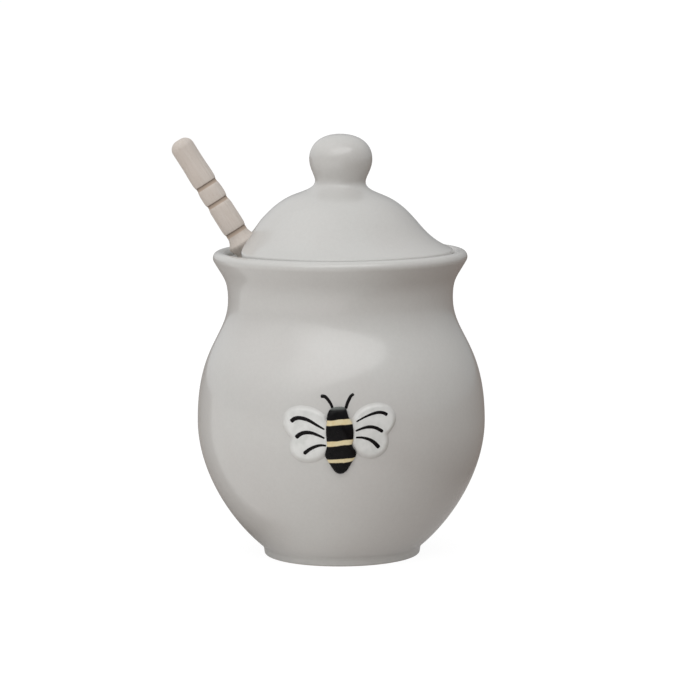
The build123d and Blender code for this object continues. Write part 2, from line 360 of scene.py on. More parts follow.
class Shader(Nodes):
    """A material with further helpers."""

    def __init__(self, name):
        self.material = bpy.data.materials.new(name)
        self.material.use_nodes = True
        super().__init__(self.material.node_tree)
        self.surface = self.tree.nodes["Principled BSDF"]

    def finish(self, **inputs):
        """Sets the surface's inputs, with underscores for the spaces in their names."""
        for key, value in inputs.items():
            self.put(self.surface, key.replace("_", " "), value)
        return self.material

    def place(self):
        return self.node("TexCoord").outputs["Object"]

    def attribute(self, name):
        return self.node("Attribute", attribute_name=name).outputs["Fac"]

    def noise(self, place, scale, detail=2.0, roughness=0.5):
        made = self.node("TexNoise", {"Vector": place, "Scale": scale, "Detail": detail,
                                      "Roughness": roughness})
        return made.outputs["Fac"]

    def mix(self, factor, first, second, blend="MIX"):
        """Mix of two colours, which are the node's inputs 6 and 7."""
        made = self.node("Mix", {"Factor": factor, 6: first, 7: second},
                         data_type="RGBA", blend_type=blend)
        return made.outputs[2]

    def bump(self, height, strength, distance, below=None):
        """Normal of a relief, on top of another one if given. The distance is in metres."""
        made = self.node("Bump", {"Height": height, "Strength": strength, "Distance": distance})
        if below is not None:
            self.put(made, "Normal", below)
        return made.outputs["Normal"]


def tone(red, green, blue):
    """Shader colour from 0 to 255 display values."""
    def linear(value):
        share = value / 255
        return share / 12.92 if share <= 0.04045 else ((share + 0.055) / 1.055) ** 2.4
    return (linear(red), linear(green), linear(blue), 1.0)


# Noise scales are per metre. NOISE is the span that most of a noise's values lie in.
NOISE = (0.3, 0.7)

GLAZE, GLAZE_WARM = tone(207, 207, 204), tone(204, 202, 199)
GLAZE_MOTTLE = (0.972, 1.025)
GLAZE_ROUGHNESS, GLAZE_COAT_ROUGHNESS, GLAZE_IOR = (0.31, 0.36), 0.12, 1.5
SLIP_WHITE, SLIP_GREY = tone(232, 233, 231), tone(216, 218, 215)
SLIP_EDGE_WOBBLE = (-0.12, 0.12)
CLAY, CLAY_DARK, CLAY_ROUGHNESS = tone(205, 194, 178), tone(180, 166, 148), 0.85


def glaze_colour(shader, place):
    """Warm grey glaze with soft clouds and a fine mottle."""
    clouds = shader.spread(shader.noise(place, scale=24.0, detail=6.0, roughness=0.6), NOISE)
    colour = shader.mix(clouds, GLAZE, GLAZE_WARM)
    specks = shader.noise(place, scale=900.0, detail=3.0, roughness=0.6)
    mottle = shader.spread(specks, (0.2, 0.8), GLAZE_MOTTLE)
    grey = shader.node("CombineColor", {0: mottle, 1: mottle, 2: mottle}).outputs[0]
    return shader.mix(1.0, colour, grey, "MULTIPLY")


def glaze_surface(shader, place, colour):
    """Gloss of a fired glaze, with the faint waves of its surface."""
    waves = shader.bump(shader.noise(place, scale=70.0), strength=0.1, distance=0.001)
    skin = shader.bump(shader.noise(place, scale=900.0), strength=0.05, distance=0.0001,
                       below=waves)
    gloss = shader.spread(shader.noise(place, scale=160.0, detail=3.0), NOISE, GLAZE_ROUGHNESS)
    return shader.finish(Base_Color=colour, Roughness=gloss, Normal=skin, IOR=GLAZE_IOR,
                         Coat_Weight=1.0, Coat_Roughness=GLAZE_COAT_ROUGHNESS,
                         Coat_IOR=GLAZE_IOR)


def glaze_material():
    """The plain glaze of the pot and the lid."""
    shader = Shader("grey_glaze")
    place = shader.place()
    return glaze_surface(shader, place, glaze_colour(shader, place))


def wing_material():
    """White slip under the glaze, which fades out at the wing's edge."""
    shader = Shader("wing_glaze")
    place = shader.place()
    clouds = shader.spread(shader.noise(place, scale=300.0, detail=3.0), (0.35, 0.7))
    white = shader.mix(clouds, SLIP_WHITE, SLIP_GREY)
    wobble = shader.spread(shader.noise(place, scale=500.0), NOISE, SLIP_EDGE_WOBBLE)
    edge = shader.math("ADD", shader.attribute("white"), wobble, clamped=True)
    return glaze_surface(shader, place, shader.mix(edge, glaze_colour(shader, place), white))


def clay_material():
    """Bare fired clay under the foot and the lid's edge."""
    shader = Shader("bare_clay")
    grain = shader.noise(shader.place(), scale=1500.0, detail=5.0, roughness=0.7)
    return shader.finish(Base_Color=shader.mix(shader.spread(grain, (0.35, 0.7)), CLAY, CLAY_DARK),
                         Roughness=CLAY_ROUGHNESS,
                         Normal=shader.bump(grain, strength=0.35, distance=0.0002))


PAINT_BLACK, PAINT_WORN_BLACK = tone(9, 8, 9), tone(22, 19, 20)
# The third of these is the grey of the painted highlight on the top of the bee's head
PAINT_STRAW, PAINT_OCHRE, PAINT_HEAD_HIGHLIGHT = tone(232, 218, 178), tone(226, 205, 158), tone(128, 133, 130)
PAINT_ROUGHNESS, PAINT_SPECULAR, PAINT_COAT, PAINT_COAT_ROUGHNESS = (0.18, 0.32), 0.05, 0.15, 0.1

# Along the bee's body, from its tail up: where the paint changes, and whether it is
# black (0) or yellow (1) from there
BAND_EDGES = ((-7.15, 1), (-5.95, 0), (-1.35, 1), (0.2, 0), (5.4, 1), (7.2, 0))
BAND_SPAN = (-12.0, 12.0)
BAND_SOFT, BAND_WOBBLE = 0.09, (-0.16, 0.16)
# Painted highlight: grey over the top of the bee's head, where the glossy black faces the lamp
# above
HEAD_HIGHLIGHT_SPAN, HEAD_HIGHLIGHT_STRENGTH = (10.3, 11.2), 0.75


def paint_surface(shader, place, colour):
    """Gloss and brush marks of the paint."""
    strokes = shader.noise(place, scale=700.0, detail=3.0)
    gloss = shader.spread(strokes, NOISE, PAINT_ROUGHNESS)
    return shader.finish(Base_Color=colour, Roughness=gloss,
                         Normal=shader.bump(strokes, strength=0.18, distance=0.0003),
                         Specular_IOR_Level=PAINT_SPECULAR, Coat_Weight=PAINT_COAT,
                         Coat_Roughness=PAINT_COAT_ROUGHNESS)


def black_paint(shader, place):
    """Black with slightly worn areas."""
    wear = shader.spread(shader.noise(place, scale=600.0, detail=4.0), (0.4, 0.75))
    return shader.mix(wear, PAINT_BLACK, PAINT_WORN_BLACK)


def stroke_material():
    """Black paint of the veins and antennae."""
    shader = Shader("black_brush_paint")
    place = shader.place()
    return paint_surface(shader, place, black_paint(shader, place))


def bee_material():
    """Hand-painted bands across the bee's body, and a painted highlight on the top of its head."""
    shader = Shader("banded_bee_paint")
    place = shader.place()
    wobble = shader.spread(shader.noise(place, scale=230.0), NOISE, BAND_WOBBLE)
    level = shader.math("ADD", shader.attribute("along"), wobble)
    ramp = shader.node("ValToRGB", {"Fac": shader.spread(level, BAND_SPAN)})
    elements = ramp.color_ramp.elements
    stops = [(BAND_SPAN[0], 0)]
    for edge, after in BAND_EDGES:
        stops += [(edge - BAND_SOFT, 1 - after), (edge + BAND_SOFT, after)]
    while len(elements) < len(stops):
        elements.new(1.0)
    for element, (at, value) in zip(elements, stops):
        element.position = (at - BAND_SPAN[0]) / (BAND_SPAN[1] - BAND_SPAN[0])
        element.color = (value, value, value, 1.0)
    tint = shader.spread(shader.noise(place, scale=500.0, detail=4.0), (0.42, 0.68))
    yellow = shader.mix(tint, PAINT_STRAW, PAINT_OCHRE)
    colour = shader.mix(ramp.outputs["Color"], black_paint(shader, place), yellow)
    # Painted highlight on the top of the head
    head_highlight = shader.spread(level, HEAD_HIGHLIGHT_SPAN, (0.0, HEAD_HIGHLIGHT_STRENGTH))
    return paint_surface(shader, place, shader.mix(head_highlight, colour, PAINT_HEAD_HIGHLIGHT))


WOOD_LIGHT, WOOD_DARK, WOOD_BAND = tone(218, 210, 203), tone(202, 192, 183), tone(211, 200, 190)
WOOD_FLECK, WOOD_RECESS_SHADE, WOOD_GROOVE_SHADOW = tone(182, 164, 150), tone(188, 164, 142), tone(58, 42, 32)
WOOD_ROUGHNESS, WOOD_BAND_STRENGTH, WOOD_FLECK_STRENGTH = (0.48, 0.62), 0.5, 0.35
# How much the grain and the flecks are stretched: across the dipper, then along it
GRAIN_STRETCH, FLECK_STRETCH = (1.0, 0.07), (2.6, 0.5)


def wood_place(shader, stretch):
    """Place along the wood's grain, in millimetres times a stretch."""
    across, along = stretch
    parts = ((0, "grain_x", across), (1, "grain_y", across), (2, "along", along))
    return shader.node("CombineXYZ", {
        index: shader.math("MULTIPLY", shader.attribute(name), factor)
        for index, name, factor in parts}).outputs[0]


def wood_material():
    """Pale turned beech: fine grain along the dipper, flecks, and painted shadow and shade in the
    grooves.
    """
    shader = Shader("turned_beech")
    grain_place = wood_place(shader, GRAIN_STRETCH)
    grain = shader.noise(grain_place, scale=1.6, detail=5.0, roughness=0.62)
    bands = shader.noise(grain_place, scale=0.35)
    flecks = shader.noise(wood_place(shader, FLECK_STRETCH), scale=1.5)
    colour = shader.mix(shader.spread(grain, (0.3, 0.72)), WOOD_LIGHT, WOOD_DARK)
    colour = shader.mix(shader.spread(bands, (0.35, 0.65), (0.0, WOOD_BAND_STRENGTH)),
                        colour, WOOD_BAND)
    colour = shader.mix(shader.spread(flecks, (0.62, 0.72), (0.0, WOOD_FLECK_STRENGTH)),
                        colour, WOOD_FLECK)
    # Painted shade down in the grooves of the grip and between the head's ribs
    colour = shader.mix(shader.attribute("recess_shade"), colour, WOOD_RECESS_SHADE)
    # Painted shadow: a dark line under the upper wall of each grip groove
    colour = shader.mix(shader.attribute("groove_shadow"), colour, WOOD_GROOVE_SHADOW)
    return shader.finish(Base_Color=colour, Roughness=shader.spread(grain, NOISE, WOOD_ROUGHNESS),
                         Normal=shader.bump(grain, strength=0.22, distance=0.0003))


glaze = glaze_material()
bare_clay = clay_material()
wing_glaze = wing_material()
stroke_paint = stroke_material()
bee_paint = bee_material()
wood = wood_material()

# ---------------------------------------------------------------- pot
profile = pot_profile()
pot_points, pot_faces = spun([turned_column(profile, 2 * pi * step / POT_COLUMNS)
                              for step in range(POT_COLUMNS)])
bare = [point.y < FOOT_BARE for point in profile]
pot_slots = [1 if bare[face[0] % len(profile)] and bare[face[3] % len(profile)] else 0
             for face in pot_faces]
pot_body = add_piece("pot_body", pot_points, pot_faces, (glaze, bare_clay), "pot", pot_slots)
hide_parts("pot")


# ---------------------------------------------------------------- bee
def wing_radius(angle, side):
    """Distance from a wing pair's hub to its outline."""
    away = Vector((cos(angle), sin(angle)))
    reaches = []
    for centre, halves, turn in WINGS[side]:
        unturn = Matrix.Rotation(radians(-turn), 2)
        start = unturn @ (WING_HUB - Vector(centre))
        step = unturn @ away
        start = Vector((start.x / halves[0], start.y / halves[1]))
        step = Vector((step.x / halves[0], step.y / halves[1]))
        a, b, c = step.dot(step), 2 * start.dot(step), start.dot(start) - 1
        reaches.append((-b + sqrt(b * b - 4 * a * c)) / (2 * a))
    return log(sum(exp(WING_WAIST * reach) for reach in reaches)) / WING_WAIST


def wing_height(inset):
    """Height of the wings above the pot's side, at an inset from their outline."""
    share = clamp(inset / WING_SLOPE)
    return WING_RELIEF * share ** WING_POWER * (1 + WING_POWER * (1 - share))


def wing_height_at(across, along):
    """Height of the wings' surface above the pot's side, at the bee's own coordinates."""
    offset = Vector((abs(across), along)) - WING_HUB
    reach = wing_radius(atan2(offset.y, offset.x), 1 if across > 0 else -1)
    return wing_height(reach - offset.length)


WING_TURNS = 120
WING_INSETS = (0.0, 0.1, 0.22, 0.36, 0.52, 0.7, 0.9, 1.1, 1.35, 1.6, 1.85, 2.1, 2.6)
WING_SHARES = (0.8, 0.6, 0.4, 0.2, 0.0)


def wing_pair(name, side):
    """The two wings on one side (1 right, -1 left), as one raised skin."""
    columns = []
    white = []
    for step in range(WING_TURNS):
        angle = 2 * pi * step / WING_TURNS * side
        reach = wing_radius(angle, side)
        rings = [(reach - inset, wing_height(inset)) for inset in WING_INSETS]
        rings[0] = (reach, -WING_SUNK)
        rings += [((reach - WING_INSETS[-1]) * share, WING_RELIEF) for share in WING_SHARES]
        column = []
        for radius, height in rings:
            spot = WING_HUB + Vector((cos(angle), sin(angle))) * radius
            column.append(on_pot(spot.x * side, spot.y, height))
            white.append(clamp((reach - radius - WING_FADE[0]) / (WING_FADE[1] - WING_FADE[0])))
        columns.append(column)
    points, faces = spun(columns)
    piece = add_piece(name, points, faces, (wing_glaze,), "pot", values={"white": white})


wing_pair("wings_right", 1)
wing_pair("wings_left", -1)


# The body's outline, clockwise from the top of the head
BEE_OUTLINE = (
    (-0.1, 11.5), (1.5, 11.3), (2.3, 10.4), (2.7, 9.0), (3.1, 7.6), (3.9, 6.0), (4.25, 4.6),
    (4.3, 2.2), (4.1, 0.0), (3.65, -1.3), (3.9, -2.4), (4.85, -3.8), (4.8, -5.2), (4.0, -6.5),
    (3.1, -7.9), (2.25, -9.3), (1.4, -10.4), (0.4, -11.15), (-0.7, -11.35), (-1.75, -11.15),
    (-2.6, -10.4), (-3.4, -9.2), (-4.25, -7.7), (-4.95, -6.3), (-5.5, -5.2), (-5.45, -3.9),
    (-5.05, -2.4), (-4.75, -1.2), (-4.85, 0.2), (-4.9, 3.0), (-4.75, 5.1), (-4.35, 6.5),
    (-4.4, 7.7), (-4.1, 9.2), (-3.3, 10.6), (-1.9, 11.35),
)
BEE_HUB = Vector((-0.3, -0.6))
BEE_RINGS = (1.0, 0.995, 0.985, 0.97, 0.945, 0.91, 0.87, 0.82, 0.76, 0.68, 0.58, 0.46, 0.33,
             0.18, 0.0)
BEE_PARTS = 4                   # columns for each point of the outline
BAND_TILT = 0.045               # the bands' slope across the body


def between(ends, t):
    """Point on a smooth line between the middle two of four points."""
    return 0.5 * (2 * ends[1] + (ends[2] - ends[0]) * t
                  + (2 * ends[0] - 5 * ends[1] + 4 * ends[2] - ends[3]) * t * t
                  + (3 * ends[1] - ends[0] - 3 * ends[2] + ends[3]) * t ** 3)


bee_columns = []
bee_along = []
for index in range(len(BEE_OUTLINE)):
    ends = [Vector(BEE_OUTLINE[(index + step) % len(BEE_OUTLINE)]) for step in (-1, 0, 1, 2)]
    for part in range(BEE_PARTS):
        rim = between(ends, part / BEE_PARTS)
        column = [on_pot(rim.x, rim.y, -BEE_SUNK)]
        bee_along.append(rim.y - BAND_TILT * rim.x)
        for share in BEE_RINGS:
            spot = BEE_HUB.lerp(rim, share)
            swell = (BEE_RELIEF - BEE_EDGE) * sqrt(1 - share ** BEE_SQUARENESS)
            column.append(on_pot(spot.x, spot.y, BEE_EDGE + swell))
            bee_along.append(spot.y - BAND_TILT * spot.x)
        bee_columns.append(column)
bee_points, bee_faces = spun(bee_columns)
bee_body = add_piece("bee_body", bee_points, bee_faces, (bee_paint,), "pot",
                     values={"along": bee_along})

# Brush strokes: the points of each middle line, then its widths at the start, middle and end
VEINS = (
    (((-5.3, 4.1), (-7.6, 5.5), (-10.5, 7.3), (-13.0, 8.1), (-15.0, 7.9), (-16.4, 6.9)),
     (0.55, 1.3, 1.5)),
    (((-5.4, 1.1), (-7.1, 2.0), (-9.5, 3.0), (-11.8, 3.2), (-13.6, 2.6), (-15.0, 1.5)),
     (0.55, 1.3, 1.5)),
    (((-5.0, -1.4), (-6.6, -1.2), (-8.4, -1.5), (-10.6, -2.5), (-12.6, -4.0)), (0.6, 1.05, 1.35)),
    (((5.4, 6.2), (8.1, 7.5), (10.6, 8.4), (12.8, 8.8), (14.5, 8.5), (15.8, 7.7)),
     (0.5, 1.0, 1.2)),
    (((5.0, 3.1), (7.4, 3.9), (9.6, 4.2), (11.8, 3.7), (14.1, 2.2)), (0.6, 1.15, 1.15)),
    (((5.0, 0.9), (6.9, 0.8), (8.9, 0.2), (10.8, -1.0), (12.6, -3.1)), (0.6, 1.0, 1.5)),
)
ANTENNAE = (
    (((-2.3, 11.0), (-2.9, 12.6), (-3.9, 14.2), (-4.9, 15.1), (-6.2, 15.2)), (0.9, 1.1, 1.3)),
    (((2.1, 10.7), (2.7, 12.4), (3.4, 13.8), (4.1, 14.9), (5.1, 15.5)), (1.1, 1.15, 0.95)),
)
STROKE_STEPS, STROKE_PARTS = 30, 8
STROKE_LOOK = 0.01              # share of a stroke over which its direction is read
STROKE_END = 0.02               # share of its width that a stroke keeps at its very ends


def through(points, share):
    """Point at a share of a smooth line through points."""
    place = share * (len(points) - 1)
    index = min(int(place), len(points) - 2)
    ends = [Vector(points[clamp(index + step, 0, len(points) - 1)]) for step in (-1, 0, 1, 2)]
    return between(ends, place - index)


def stroke_width(widths, share, length):
    """Width of a stroke at a share of its length, with round ends."""
    if share < 0.5:
        width = widths[0] + (widths[1] - widths[0]) * share * 2
    else:
        width = widths[1] + (widths[2] - widths[1]) * (share * 2 - 1)
    for along in (share * length, (1 - share) * length):
        if along < width / 2:
            width *= sqrt(max(1 - (1 - 2 * along / width) ** 2, STROKE_END ** 2))
    return width


def brush_stroke(name, points, widths, on_wing):
    """A raised stroke of paint that follows the surface under it."""
    length = sum((Vector(b) - Vector(a)).length for a, b in zip(points, points[1:]))
    columns = []
    for step in range(STROKE_STEPS + 1):
        share = 0.5 - 0.5 * cos(pi * step / STROKE_STEPS)
        width = stroke_width(widths, share, length)
        middle = through(points, share)
        ahead = (through(points, min(share + STROKE_LOOK, 1))
                 - through(points, max(share - STROKE_LOOK, 0))).normalized()
        sideways = Vector((-ahead.y, ahead.x))
        column = []
        for part in range(STROKE_PARTS + 1):
            turn = pi * part / STROKE_PARTS
            spot = middle - sideways * cos(turn) * width / 2
            base = wing_height_at(spot.x, spot.y) if on_wing else 0.0
            crown = STROKE_CROWN * sin(turn) * min(width, STROKE_CROWN_WIDTH) - STROKE_SUNK
            column.append(on_pot(spot.x, spot.y, base + crown))
        columns.append(column)
    skin, faces = spun(columns, closed=False)
    piece = add_piece(name, skin, faces, (stroke_paint,), "pot")


for number, (points, widths) in enumerate(VEINS, 1):
    brush_stroke(f"wing_vein_{number}", points, widths, True)
for number, (points, widths) in enumerate(ANTENNAE, 1):
    brush_stroke(f"antenna_{number}", points, widths, False)

# ---------------------------------------------------------------- lid
shoulder_point = (SHOULDER_RADIUS, LID_BASE + SHOULDER_RISE)
knob_neck_point = (KNOB_NECK_RADIUS, LID_BASE + KNOB_NECK_RISE)
knob_point = (KNOB_RADIUS, LID_BASE + KNOB_RISE)
dome_lean = DOME_SLOPE - 90
dome = curve((LID_RADIUS, LID_BASE + LID_EDGE), dome_lean, shoulder_point, dome_lean,
             DOME_PULLS, steps=120)[::-1]
hollow = curve((RING_INNER, LID_BASE + LID_WALL), -HOLLOW_SLOPE,
               (0, LID_BASE + SHOULDER_RISE - LID_WALL), -90, HOLLOW_PULLS, steps=60)
hollow_rising = hollow[::-1]
knob = curve(shoulder_point, dome_lean, knob_neck_point, 0, KNOB_NECK_PULLS, steps=10)
knob += curve(knob_neck_point, 0, knob_point, 0, KNOB_PULLS, steps=10)[1:]
knob += curve(knob_point, 0, (0, LID_BASE + LID_RISE), -90, KNOB_TOP_PULLS, steps=14)[1:]
knob = knob[::-1]

ring_low = LID_BASE - RING_DEPTH
ring_outside = ((RING_OUTER, LID_BASE), (RING_OUTER, ring_low))
ring_inside = ((RING_INNER, ring_low), (RING_INNER, LID_BASE))
underside = [Vector((LID_RADIUS, LID_BASE)), Vector((BARE_RADIUS, LID_BASE))]
underside += rounded(underside[0], *ring_outside, RING_OUTER_COVE, steps=3)
underside += rounded(*ring_outside, ring_inside[0], RING_ROUND, steps=4)
underside += rounded(ring_outside[1], *ring_inside, RING_ROUND, steps=4)
underside += rounded(ring_inside[0], (RING_INNER, LID_BASE + LID_WALL), hollow[2],
                     RING_INNER_COVE, steps=4)
underside += hollow[4::4]

# The notch in plan, turned from its middle: its rounded corner's centre, and the point
# where the notch's own arc meets that corner
corner_reach = LID_RADIUS - NOTCH_CORNER
corner_turn = acos((corner_reach ** 2 + LID_RADIUS ** 2 - (NOTCH_RADIUS + NOTCH_CORNER) ** 2)
                   / (2 * corner_reach * LID_RADIUS))
corner_centre = Vector((corner_reach * cos(corner_turn), corner_reach * sin(corner_turn)))
notch_middle = Vector((LID_RADIUS, 0))
touch = notch_middle + (corner_centre - notch_middle).normalized() * NOTCH_RADIUS
touch_turn = atan2(touch.y, touch.x)


def notch_edge(turn):
    """Radius of the lid's outline at an angle from the middle of the notch."""
    turn = abs(turn)
    if turn >= corner_turn:
        return LID_RADIUS
    if turn >= touch_turn:
        off = turn - corner_turn
        return corner_reach * cos(off) + sqrt(NOTCH_CORNER ** 2 - (corner_reach * sin(off)) ** 2)
    return LID_RADIUS * cos(turn) - sqrt(NOTCH_RADIUS ** 2 - (LID_RADIUS * sin(turn)) ** 2)


DOME_STEPS = 20
LID_FOOT_INSET = LID_FOOT_ROUND + 0.01      # the underside's points stay this far inside the edge


def lid_column(edge):
    """Section of the lid that ends at the radius edge."""
    top = lookup(dome, 0, 1, edge)
    slope = Vector((edge - 1, lookup(dome, 0, 1, edge - 1)))
    if edge > RING_OUTER:
        bottom = LID_BASE
    elif edge > RING_INNER:
        bottom = ring_low
    else:
        bottom = lookup(hollow_rising, 0, 1, edge)
    shoulder = rounded(slope, (edge, top), (edge, bottom), LID_EDGE_ROUND, steps=6)
    points = list(knob)
    for step in range(1, DOME_STEPS):
        radius = SHOULDER_RADIUS + (shoulder[0].x - SHOULDER_RADIUS) * step / DOME_STEPS
        points.append(Vector((radius, lookup(dome, 0, 1, radius))))
    points += shoulder
    points += rounded((edge, top), (edge, bottom), (edge - 1, bottom), LID_FOOT_ROUND, steps=3)
    inset = Vector((edge - LID_FOOT_INSET, bottom))
    points += [point if point.x < edge - LID_FOOT_INSET else inset for point in underside]
    return points


NOTCH_STEP, NOTCH_STEPS = 1.2, 30
LID_STEP, LID_STEPS = 2.5, 114
NOTCH_SPAN = NOTCH_STEP * NOTCH_STEPS
NOTCH_HAIR = 0.02               # two columns stand this far from each crossing with the ring
BISECTIONS = 40


def crossing(radius):
    """Angle from the notch's middle at which the lid's outline passes a radius."""
    low, high = 0.0, radians(NOTCH_SPAN)
    for _ in range(BISECTIONS):
        middle = (low + high) / 2
        if notch_edge(middle) < radius:
            low = middle
        else:
            high = middle
    return low


hair = radians(NOTCH_HAIR)
notch_turns = {radians(NOTCH_STEP * step) for step in range(NOTCH_STEPS + 1)}
for radius in (RING_OUTER, RING_INNER):
    notch_turns |= {crossing(radius) - hair, crossing(radius) + hair}
notch_turns = sorted(notch_turns)
plain_turns = [radians(NOTCH_SPAN + LID_STEP * step) for step in range(1, LID_STEPS + 1)]
turns = notch_turns + plain_turns + [2 * pi - turn for turn in reversed(notch_turns[1:])]
lid_columns = []
for turn in turns:
    from_notch = turn if turn < pi else turn - 2 * pi
    lid_columns.append(turned_column(lid_column(notch_edge(from_notch)),
                                     turn + radians(NOTCH_TURN)))
lid_points, lid_faces = spun(lid_columns)
pivot = Vector((0, 0, LID_BASE + LEAN_PIVOT))
for point in lid_points:
    rise = clamp((point.z - LID_BASE) / LEAN_RISE)
    lean = Matrix.Rotation(radians(LID_LEAN) * rise * rise * (3 - 2 * rise), 3, "Y")
    point.xyz = lean @ (point - pivot) + pivot

LEVEL_TOLERANCE = 0.05
lid_rows = len(lid_columns[0])
under_first = lid_rows - len(underside) + 1
lid_slots = [1 if under_first <= face[0] % lid_rows < under_first + 2
             and all(abs(lid_points[corner].z - LID_BASE) < LEVEL_TOLERANCE for corner in face[:2])
             else 0 for face in lid_faces]
lid_body = add_piece("lid_body", lid_points, lid_faces, (glaze, bare_clay), "lid", lid_slots)
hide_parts("lid")

# ---------------------------------------------------------------- dipper
JUST_INSIDE = 0.01
TIP_STEPS, BEAD_STEPS, BEAD_FALL_STEPS, SHAFT_STEPS, RIB_STEPS, END_STEPS = 8, 10, 8, 12, 5, 14
SHAFT_END = ((-0.4, 4.2), (-0.05, 4.35))    # rows before the head's start


def head_outline(head_start):
    """Points (distance from the tip, radius) of the head's outline over its ribs."""
    widest = (HEAD_RADIUS, DIPPER_LENGTH - HEAD_LENGTH / 2)
    outline = curve((HEAD_NECK_RADIUS, head_start), HEAD_NECK_LEAN, widest, 0,
                    HEAD_UPPER_PULLS, steps=30)
    outline += curve(widest, 0, (0, DIPPER_LENGTH), -90, HEAD_LOWER_PULLS, steps=60)[1:]
    return [Vector((point.y, point.x)) for point in outline]


def rib_rows(rib, head_start, outline):
    """Rows of one of the head's ribs, with the groove walls on either side of it."""
    is_last = rib == HEAD_RIBS - 1
    start = head_start + rib * HEAD_PITCH + (HEAD_GROOVE / 2 if rib else 0.0)
    end = head_start + (rib + 1) * HEAD_PITCH - (0.0 if is_last else HEAD_GROOVE / 2)
    first = lookup(outline, 0, 1, start + JUST_INSIDE)
    rows = []
    if rib:
        rows += [(start + CORE_COVE[0], HEAD_CORE_RADIUS), (start, HEAD_CORE_RADIUS + CORE_COVE[1])]
    rows += [(start, first - RIB_ROUND), (start + RIB_SOFTENING[0], first - RIB_SOFTENING[1])]
    flat_start = start + RIB_ROUND
    if is_last:
        places = [flat_start + (DIPPER_LENGTH - flat_start) * sin(pi / 2 * step / END_STEPS)
                  for step in range(END_STEPS + 1)]
        return rows + [(at, lookup(outline, 0, 1, at)) for at in places]
    places = [flat_start + (end - flat_start - RIB_ROUND) * step / RIB_STEPS
              for step in range(RIB_STEPS + 1)]
    rows += [(at, lookup(outline, 0, 1, at)) for at in places]
    last = lookup(outline, 0, 1, end)
    return rows + [(end - RIB_SOFTENING[0], last - RIB_SOFTENING[1]), (end, last - RIB_ROUND),
                   (end, HEAD_CORE_RADIUS + CORE_COVE[1]), (end + CORE_COVE[0], HEAD_CORE_RADIUS)]


def dipper_profile():
    """Rows of (distance from the tip, radius) along the turned dipper."""
    rows = [(0.0, 0.0), (0.0, TIP_FLAT)]
    for step in range(TIP_STEPS + 1):
        turn = pi / 2 * (1 - step / TIP_STEPS)
        rows.append((TIP_ROUND * (1 - sin(turn)), HANDLE_RADIUS - TIP_ROUND * (1 - cos(turn))))
    rows += GRIP_ROWS
    for groove in GRIP_GROOVES:
        rows += [(groove + along, radius) for along, radius in BEFORE_GROOVE]
        flat_end = groove + GROOVE_FLAT
        rows.append((flat_end, GROOVE_RADIUS))
        if groove != GRIP_GROOVES[-1]:
            rows += [(flat_end + along, radius) for along, radius in AFTER_GROOVE]

    rows.append((BEAD_MIDDLE - BEAD_COVE, GROOVE_RADIUS))
    for step in range(1, BEAD_STEPS + 1):
        share = step / BEAD_STEPS
        swell = (BEAD_RADIUS - GROOVE_RADIUS) * share ** BEAD_POWER
        rows.append((BEAD_MIDDLE - BEAD_COVE * (1 - share), GROOVE_RADIUS + swell))
    for step in range(1, BEAD_FALL_STEPS + 1):
        share = step / BEAD_FALL_STEPS
        swell = (BEAD_RADIUS - HANDLE_RADIUS) * 0.5 * (1 + cos(pi * share))
        rows.append((BEAD_MIDDLE + BEAD_ROUND * share, HANDLE_RADIUS + swell))

    head_start = DIPPER_LENGTH - HEAD_LENGTH
    shaft_start = BEAD_MIDDLE + BEAD_ROUND
    rows += [(shaft_start + (head_start - shaft_start) * step / SHAFT_STEPS, HANDLE_RADIUS)
             for step in range(1, SHAFT_STEPS)]
    rows += [(head_start + along, radius) for along, radius in SHAFT_END]
    outline = head_outline(head_start)
    for rib in range(HEAD_RIBS):
        rows += rib_rows(rib, head_start, outline)
    return rows


# Painted shadow at the start of each grip groove, where its upper wall overhangs
GROOVE_SHADOW_STRENGTH, GROOVE_SHADOW_FADES = 0.95, (0.12, 0.3)       # fades before and after a groove's start
# Painted shade in the grip's grooves and between the head's ribs
GRIP_RECESS_SHADE, GRIP_RECESS_SPAN = 0.7, (-0.1, GROOVE_FLAT + 0.05)
HEAD_RECESS_SHADE, HEAD_RECESS_REACH, HEAD_RECESS_RADIUS = 0.45, 1.1, 7.0
HEAD_GROOVES = [DIPPER_LENGTH - HEAD_LENGTH + HEAD_PITCH * rib for rib in range(1, HEAD_RIBS)]


def groove_shadow_at(along):
    """Painted shadow under the overhang of each grip groove: strongest at the groove's start."""
    nearest = 0.0
    for groove in GRIP_GROOVES:
        gap = along - groove
        fade = GROOVE_SHADOW_FADES[0] if gap <= 0 else GROOVE_SHADOW_FADES[1]
        nearest = max(nearest, 1 - abs(gap) / fade)
    return GROOVE_SHADOW_STRENGTH * nearest


def recess_shade_at(along, radius):
    """Painted shade: how much darker the wood is, down in the grooves."""
    if any(GRIP_RECESS_SPAN[0] < along - groove < GRIP_RECESS_SPAN[1] for groove in GRIP_GROOVES):
        return GRIP_RECESS_SHADE
    if radius < HEAD_RECESS_RADIUS and any(abs(along - groove) < HEAD_RECESS_REACH
                                          for groove in HEAD_GROOVES):
        return HEAD_RECESS_SHADE
    return 0.0


